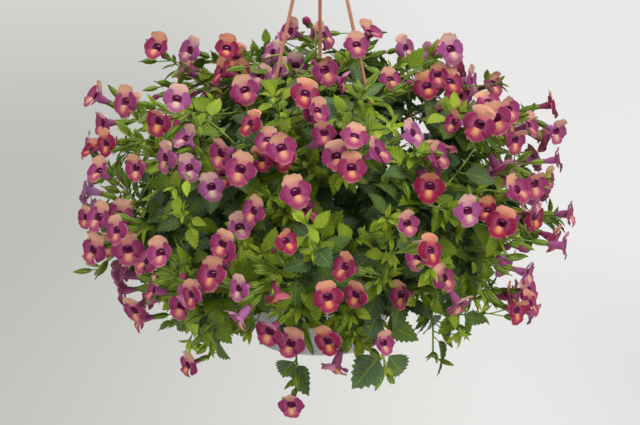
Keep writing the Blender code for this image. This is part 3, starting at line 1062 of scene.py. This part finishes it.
def growTwig(shoot, tip):
    # the line from the shoot's stem to a tip, as four Bezier corners
    corners = shoot["corners"]
    root = corners[0]
    wanted = (tip["point"] - root).length * chance.uniform(*habit["twigFrom"])
    share = 0.2
    while share < 0.85 and (bezier(corners, share) - root).length < wanted:
        share += 0.03
    start = bezier(corners, share)
    ahead = (bezier(corners, share + 0.03) - start).normalized()
    end = tip["point"] - tip["face"] * habit["twigShort"][tip["leafy"]]
    span = (end - start).length
    low = max(0.0, -tip["sine"])
    arrive = (tip["face"] * (1 - low) - up * 0.9 * low + up * 0.25).normalized()
    return [start, start + ahead * span * 0.4, end - arrive * span * 0.35, end]


seats = {"turns": (90, 210, 330), "hub": (0.0075, -0.056), "rim": 0.0865, "potRadius": 0.094}
rods = []  # each one's seats in the hub and in the rim
for turn in map(math.radians, seats["turns"]):
    wide, high = seats["hub"]
    rods.append((polar(wide, turn, high), polar(seats["rim"], turn, rimZ)))


def clearOfHolder(point, size):
    if point.z < rimZ + size and point.xy.length < seats["potRadius"] + size:
        return False
    for top, foot in rods:
        run = foot - top
        share = min(max((point - top).dot(run) / run.length_squared, 0), 1)
        if (point - top - run * share).length < size * 0.6:
            return False
    return True


def insideBox(point, size):
    low, high = cadBox
    room = 0.010 - size
    return all(low[i] - room < point[i] < high[i] + room for i in range(3))


def outwardAt(point):
    return (point - Vector((0, 0, rimZ - 0.03))).normalized()


openSpace = {"ahead": 0.034, "behind": 0.006, "beside": 0.014}  # what a flower keeps clear


def hidesFlower(point):
    for mouth, number, distance in mouthTree.find_range(point, openSpace["ahead"]):
        away, look = point - mouth, mouths[number][1]
        ahead = away.dot(look)
        beside = (away - look * ahead).length
        if ahead > -openSpace["behind"] and beside < openSpace["beside"]:
            return True
    return False


def addLeaf(parts, splines, node, sideways, ahead, length, age, sprout=False):
    outward = outwardAt(node)
    along = sideways * leaves["out"] + ahead * leaves["ahead"][sprout] - up * leaves["down"]
    if not sprout:
        along -= outward * along.dot(outward) * leaves["flat"]
    along = jittered(along.normalized(), leaves["stray"])
    light = jittered(outward + up * leaves["skyward"], leaves["lightStray"])
    facing = (light - along * light.dot(along)).normalized()
    base = node + (sideways + along) * length * leaves["stalk"][sprout]
    middle, tip = base + along * length * 0.5, base + along * length
    if not clearOfHolder(middle, length * 0.45) or not insideBox(tip, 0.0):
        return
    if hidesFlower(middle) or hidesFlower(tip):
        return
    turn = Matrix((along.cross(facing), along, facing)).transposed().to_4x4()
    size = Matrix.Diagonal((length * chance.uniform(*leaves["width"]), length, length, 1))
    kind = "sprout" if sprout else "young" if age > leaves["youngFrom"] else "grown"
    leaf = masters[chance.choice(leaves["kinds"][kind])]
    at = Matrix.Translation(base) @ turn @ size
    parts.append(place(leaf, at, age=age, hue=chance.random()))
    if not sprout:
        stalk = [node, (node + base) / 2 + sideways * 0.001, base + along * length * 0.03]
        splines.append((stalk, *leaves["stalkRadius"]))


def addLeaves(parts, splines, corners, row):
    # pairs of leaves, each pair across the one before, and a crown of sprouts at the end
    youth, sprouts, places = leafRows[row]
    phase = chance.uniform(0, math.pi)
    for number, (share, length) in enumerate(places):
        node = bezier(corners, share)
        ahead = (bezier(corners, share + 0.03) - bezier(corners, share - 0.03)).normalized()
        level = ahead.cross(up)
        level = level.normalized() if level.length > 0.1 else Vector((1, 0, 0))
        rise = level.cross(ahead)
        angle = phase + number * math.pi / 2 + spread(0.3)
        sideways = level * math.cos(angle) + rise * math.sin(angle)
        for side in (sideways, -sideways):
            age = min(max(youth * share**1.6 + spread(leaves["ageStray"]), 0), 1)
            size = length * chance.uniform(*leaves["size"])
            addLeaf(parts, splines, node, side, ahead, size, age)
            if share > 0.4 and chance.random() < sprouts:
                slip, size = jittered(side, 0.5), chance.uniform(*leaves["sprout"])
                addLeaf(parts, splines, node, slip, ahead, size, 1.0, True)
    node = bezier(corners, 0.985)
    for turn in range(4):
        angle = phase + turn * math.pi / 2
        side = level * math.cos(angle) + rise * math.sin(angle)
        addLeaf(parts, splines, node, side, ahead, chance.uniform(*leaves["crown"]), 1.0, True)


def uprightTurn(face, roll):
    right = up.cross(face).normalized()
    turn = Matrix((right, face.cross(right), face)).transposed()
    return (turn @ Matrix.Rotation(roll, 3, "Z")).to_4x4()


def planHead(shoot, start, ahead, face, kind, stalk, hue, fixed=False):
    # a stalk that ends in a flower, a bud or a pod, where there is room for it
    foot = start + face * stalk * 0.6 + ahead * stalk * 0.4
    mouth = foot + face * heads["mouthAhead" if kind == "flower" else "budAhead"]
    if not fixed:
        if not insideBox(foot + face * 0.039, 0.010) or not clearOfHolder(mouth, 0.016):
            return False
        if any((mouth - other).length < heads["mouthSpace"] for other, look in mouths):
            return False
    if kind == "flower":
        mouths.append((mouth, face))
    shoot["heads"].append((start, ahead, face, foot, stalk, kind, hue))
    return True


def planHeads(shoot):
    end, face = shoot["corners"][-1], shoot["face"]
    hue = chance.choice(heads["shootHues"])
    angle = 0.35 * math.asin(shoot["sine"]) + 0.05
    look = polar(math.cos(angle), litAzimuth(shoot["azimuth"], shoot["sine"]), math.sin(angle))
    foot, kind = end - face * 0.002, "flower" if shoot["flowers"] else "bud"
    planHead(shoot, foot, face, look, kind, 0.009, hue, True)
    if shoot["number"] == heads["tallShoot"]:
        planHead(shoot, foot, up, heads["tallLook"], "tall", heads["tallStalk"], 0.1, True)
    for extra in ("bud", "pod", "bud"):
        start = bezier(shoot["corners"], chance.uniform(*heads["lowerPlace"]))
        look = jittered(face, 0.8)
        planHead(shoot, start, face, look, extra, chance.uniform(*heads["lowerStalk"]), hue)
    for tip in shoot["tips"]:
        line = tip["line"] = growTwig(shoot, tip)
        if tip["leafy"]:
            continue
        ahead = (line[3] - line[2]).normalized()
        hue = min(max(chance.choice(heads["twigHues"]) + spread(0.1), 0), 1)
        kinds = ["flower" if chance.random() < heads["flowering"] else "bud"]
        kinds += [chance.choice(heads["kinds"]) for extra in range(chance.choice(heads["more"]))]
        for number, kind in enumerate(kinds):
            for attempt in range(heads["tries"]):
                look = jittered(tip["face"], heads["turn"][number > 0])
                start = line[3] if number == 0 else bezier(line, chance.uniform(*heads["place"]))
                stalk = chance.uniform(*heads["stalk"])
                if planHead(shoot, start, ahead, look, kind, stalk, hue + spread(0.08)):
                    break


def addHead(foliage, blooms, splines, head):
    start, ahead, face, foot, stalk, kind, hue = head
    line = [start, start + ahead * stalk * 0.45, foot - face * stalk * 0.1, foot + face * 0.001]
    splines.append((line, heads["stalkRadius"], heads["stalkRadius"]))
    size = chance.uniform(*heads["size"]) * heads["kindSize"].get(kind, 1)
    at = Matrix.Translation(foot) @ uprightTurn(face, spread(heads["roll"]))
    scale = Matrix.Scale(size, 4)
    name = "calyx" if kind in ("flower", "furled", "tall") else kind
    ripe = heads["ripe"][name] + spread(0.2)
    foliage.append(place(masters[name], at @ scale, age=ripe, hue=chance.random()))
    if name == "calyx":
        sunk = Matrix.Translation((0, 0, heads["sunk"] * size)) @ scale
        form = chance.choice(tuple(flowerForms)) if kind == "flower" else "furled"
        blooms.append(place(masters[form], at @ sunk, hue=hue if form != "furled" else hue * 0.3))


def stemLine(corners, radius, steps):
    points = [bezier(corners, step / steps) for step in range(steps + 1)]
    return points, radius, radius * habit["stemTaper"]


def growShoot(shoot):
    foliage, blooms, splines = [], [], []
    corners, number = shoot["corners"], shoot["number"]
    splines.append(stemLine(corners, habit["stemRadius"], 16))
    hanging = number > mound["shoots"] - habit["hanging"]
    addLeaves(foliage, splines, corners, "hanging" if hanging else "shoot")
    for tip in shoot["tips"]:
        splines.append(stemLine(tip["line"], habit["twigRadius"], 8))
        addLeaves(foliage, splines, tip["line"], "twig")
    for head in shoot["heads"]:
        addHead(foliage, blooms, splines, head)
    stems = addStems(f"stems_{number:02}", splines)
    hand(joined(f"foliage_{number:02}", [stems, *foliage]), [f"shoot_{number:02}"])
    return blooms


def addStems(name, splines):
    # square stems: a curve with the coarsest round bevel has four sides
    curve = bpy.data.curves.new(name, "CURVE")
    curve.dimensions = "3D"
    curve.bevel_depth = 1.0
    curve.bevel_resolution = 0
    curve.use_fill_caps = True
    for points, startRadius, endRadius in splines:
        spline = curve.splines.new("POLY")
        spline.points.add(len(points) - 1)
        for number, (held, point) in enumerate(zip(spline.points, points)):
            held.co = (*point, 1)
            held.radius = startRadius + (endRadius - startRadius) * number / (len(points) - 1)
    stems = bpy.data.objects.new(name, curve)
    bpy.context.scene.collection.objects.link(stems)
    take(stems)
    bpy.ops.object.convert(target="MESH")
    stems = bpy.context.object
    mode("EDIT")
    pickAll()
    bpy.ops.mesh.remove_doubles(threshold=0.000002)
    mode("OBJECT")
    smoothShape(stems, 40)
    stems.data.materials.append(stemFinish)
    return stems


def carve(shape, cutter, operation="DIFFERENCE"):
    take(shape)
    work = shape.modifiers.new("carve", "BOOLEAN")
    work.operation = operation
    work.solver = "EXACT"
    work.object = cutter
    bpy.ops.object.modifier_apply(modifier=work.name)
    bpy.data.objects.remove(cutter)


pot = {
    "rings": (  # from the middle of its floor, up inside, over the rim and down outside
        (0.0605, 0.0022), (0.0612, 0.0030), (0.0785, 0.1232), (0.0792, 0.1245), (0.0802, 0.1250),
        (0.0926, 0.1250), (0.0935, 0.1247), (0.0940, 0.1240), (0.0940, 0.1153), (0.0937, 0.1150),
        (0.0924, 0.1150), (0.0922, 0.1153), (0.0922, 0.1214), (0.0914, 0.1222), (0.0814, 0.1222),
        (0.0806, 0.1212), (0.0765, 0.0940), (0.0767, 0.0930), (0.0764, 0.0920), (0.0634, 0.0030),
        (0.0628, 0.0012), (0.0614, 0.0002), (0.0600, 0.0000), (0.0580, 0.0000), (0.0566, 0.0010),
        (0.0300, 0.0010), (0.0290, 0.0004),
    ),
    "sides": 120,
    "slots": 8,
    "slotWidth": 0.005,
    "slotHeight": 0.010,
    "slotDepth": 0.018,
    "slotRadius": 0.0632,
    "firstSlot": math.radians(-77),
}


def modelPot():
    rings = [(wide, baseZ + height) for wide, height in pot["rings"]]
    shape = turned("pot_shell", rings, pot["sides"])
    middle = baseZ + pot["slotHeight"] - pot["slotWidth"] / 2
    for number in range(pot["slots"]):
        azimuth = pot["firstSlot"] + number * math.tau / pot["slots"]
        bpy.ops.mesh.primitive_cylinder_add(
            vertices=24,
            radius=pot["slotWidth"] / 2,
            depth=pot["slotDepth"],
            location=polar(pot["slotRadius"], azimuth, middle),
            rotation=(0, math.pi / 2, azimuth),
        )
        slot = begin("slot")
        pick(lambda p: p.z < middle - 0.0001)
        shift(z=-pot["slotHeight"])
        mode("OBJECT")
        carve(shape, slot)
    drillForRods(shape)
    smoothShape(shape, 32)
    shape.data.materials.append(potFinish)
    hand(shape, ["pot"])


hanger = {
    "hub": (  # radius and height of each ring, from its underside
        (0.0118, -0.0610), (0.0126, -0.0608), (0.0130, -0.0603), (0.0130, -0.0567),
        (0.0127, -0.0562), (0.0120, -0.0560),
    ),
    "wire": 0.0026,
    "wireSides": 24,
    "wireFoot": -0.0590,
    "neck": 0.02447,
    "neckZ": -0.04016,
    "neckTurn": math.radians(50),
    "crook": 0.0136,
    "crookZ": -0.011,
    "crookTurn": math.radians(255),
    "crookEnd": math.radians(205),
    "nose": ((0.0009, 0.94), (0.0008, 0.80), (0.0005, 0.55)),  # each step on, and its width
    "rod": 0.00175,
    "hole": 0.0024,
    "head": 0.0032,
    "headHeight": 0.0045,
    "tip": 0.0012,
    "flange": 0.0028,
}


def drillForRods(shape):
    for top, foot in rods:
        lean = (top - foot).to_track_quat("Z", "Y").to_euler()
        bpy.ops.mesh.primitive_cylinder_add(
            vertices=24, radius=hanger["hole"], depth=0.5, location=(top + foot) / 2, rotation=lean
        )
        drill = begin("drill")
        mode("OBJECT")
        carve(shape, drill)


def modelHook():
    hub = turned("hook_and_hub", hanger["hub"], 72)
    drillForRods(hub)
    wire, neck = (hanger["wire"], hanger["wireFoot"]), (hanger["wire"], hanger["neckZ"])
    crook = ringed("crook", (wire, neck), hanger["wireSides"])
    bpy.ops.mesh.spin(
        steps=10,
        angle=hanger["neckTurn"],
        center=(hanger["neck"], 0, hanger["neckZ"]),
        axis=(0, -1, 0),
    )
    bpy.ops.mesh.spin(
        steps=56, angle=hanger["crookTurn"], center=(0, 0, hanger["crookZ"]), axis=(0, 1, 0)
    )
    bend = hanger["crookEnd"]
    end = Vector((math.cos(bend), 0, math.sin(bend))) * hanger["crook"] + up * hanger["crookZ"]
    ahead = Vector((-math.sin(bend), 0, math.cos(bend)))
    for step, width in hanger["nose"]:
        end = end + ahead * step
        pull(*(ahead * step))
        stretch(width, width, width, end)
    faceOut()
    mode("OBJECT")
    carve(hub, crook, "UNION")
    smoothShape(hub, 35)
    hub.data.materials.append(rodFinish)
    hand(hub, ["hanger_hook"])


def modelRods():
    top, foot = rods[0]
    tilt, span = math.atan2((foot - top).xy.length, top.z - foot.z), (top - foot).length
    thin, head = hanger["rod"], hanger["head"]
    seat = head * math.tan(tilt) + 0.0003
    low = -span - hanger["flange"] / math.cos(tilt) - seat
    rod = turned("rod", (  # its barbed tip under the rim's flange, the rod, and its head on the hub
        (hanger["tip"], low - hanger["headHeight"]), (head * 0.85, low - 0.0009),
        (head, low - 0.0004), (head, low), (thin, low), (thin, seat), (head, seat),
        (head, seat + 0.0020), (head * 0.92, seat + 0.0029), (thin * 1.1, seat + 0.0044),
        (thin * 0.6, seat + 0.0045),
    ), 28)
    smoothShape(rod, 40)
    rod.data.materials.append(rodFinish)
    for side, (top, foot) in zip(("back", "left", "right"), rods):
        lean = (top - foot).to_track_quat("Z", "Y").to_matrix().to_4x4()
        piece = joined(f"rod_{side}", [place(rod, Matrix.Translation(top) @ lean)])
        hand(piece, [f"hanger_rod_{side}"])
    bpy.data.objects.remove(rod)


mix = {
    "foot": 0.0602,
    "sides": 60,
    "rings": 9,
    "crown": 0.0012,
    "lump": 0.0016,
    "perlite": 70,
    "perliteReach": 0.066,
    "perliteSize": (0.0008, 0.0021),
}


def modelMix():
    low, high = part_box("potting_mix")
    rings = ((mix["foot"], low.z), (high.x, high.z - mix["crown"]))
    shape = turned("potting_mix_lumpy", rings, mix["sides"])
    take(shape)
    mode("EDIT")
    bpy.ops.mesh.select_mode(type="FACE")
    pickFaces(lambda face: face.normal.z > 0.9)
    for ring in range(mix["rings"]):
        bpy.ops.mesh.inset(thickness=high.x / (mix["rings"] + 1))
    bpy.ops.mesh.poke()
    bpy.ops.mesh.select_mode(type="VERT")
    pick(lambda p: p.z > high.z - 0.0014 and math.hypot(p.x, p.y) < high.x - 0.002)
    bpy.ops.transform.vertex_random(offset=mix["lump"], uniform=0.3, seed=3)
    mode("OBJECT")
    shape.data.materials.append(mixFinish)
    grains = [shape]
    for number in range(mix["perlite"]):
        reach = mix["perliteReach"] * math.sqrt(chance.random())
        spot = polar(reach, chance.uniform(0, math.tau), high.z - 0.0008)
        bpy.ops.mesh.primitive_ico_sphere_add(
            subdivisions=2, radius=chance.uniform(*mix["perliteSize"]), location=spot
        )
        grain = begin("perlite")
        pickAll()
        stretch(1, 0.8, 0.7, spot)
        bpy.ops.transform.vertex_random(offset=0.0003, uniform=1.0, seed=number)
        mode("OBJECT")
        grain.data.materials.append(perliteFinish)
        grains.append(grain)
    hand(joined("potting_mix_lumpy", grains), ["potting_mix"])


bpy.ops.object.select_all(action="DESELECT")
addCamera()
addLamps()
print("camera and studio done")

leafFinish = finish("leaf_green", buildLeaf)
stemFinish = finish("stem_green", buildStem)
calyxFinish = finish("calyx_green", buildCalyx)
petalFinish = finish("petal_velvet", buildPetal)
potFinish = finish("pot_plastic", buildPot)
rodFinish = finish("rod_plastic", buildRod)
mixFinish = finish("potting_mix", buildMix)
perliteFinish = finish("perlite", buildPerlite)
print("finishes done")

masters = {name: modelLeaf(name) for name in leafForms}
for number, name in enumerate(flowerForms):
    masters[name] = modelFlower(name, number)
    addAnthers(masters[name])
for name in budForms:
    masters[name] = modelBud(name)
print("leaf, flower and bud patterns done")

shoots = [planShoot(index) for index in range(mound["shoots"])]
mouths = []
planTips(shoots)
for shoot in shoots:
    planHeads(shoot)
mouthTree = KDTree(len(mouths))
for number, (mouth, look) in enumerate(mouths):
    mouthTree.insert(mouth, number)
mouthTree.balance()
twigs = sum(len(shoot["tips"]) for shoot in shoots)
print("growth planned,", len(mouths), "flowers,", twigs, "twigs")

flowerCount = 0
for shoot in shoots:
    blooms = growShoot(shoot)
    if not blooms:
        continue
    nodes = []
    if shoot["flowers"]:
        flowerCount += 1
        nodes = [f"flower_{flowerCount:02}"]
    hand(joined(f"blooms_{shoot['number']:02}", blooms), nodes)
for master in masters.values():
    bpy.data.objects.remove(master)
print("plant done")

modelPot()
modelMix()
modelHook()
modelRods()
print("pot, mix and hanger done")

bpy.ops.mesh.primitive_plane_add(size=studio["floorSize"], location=(0, 0, studio["floorZ"]))
floor = bpy.context.object
floor.name = "floor"
floor.data.materials.append(finish("paper", buildPaper))
bpy.context.scene.view_settings.view_transform = "Standard"
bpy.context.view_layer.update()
shown = [o for o in bpy.context.scene.objects if o.type == "MESH" and not o.hide_render]
triangles = sum(len(o.data.loop_triangles) or len(o.data.polygons) * 2 for o in shown)
print(len(shown), "pieces", triangles, "triangles")
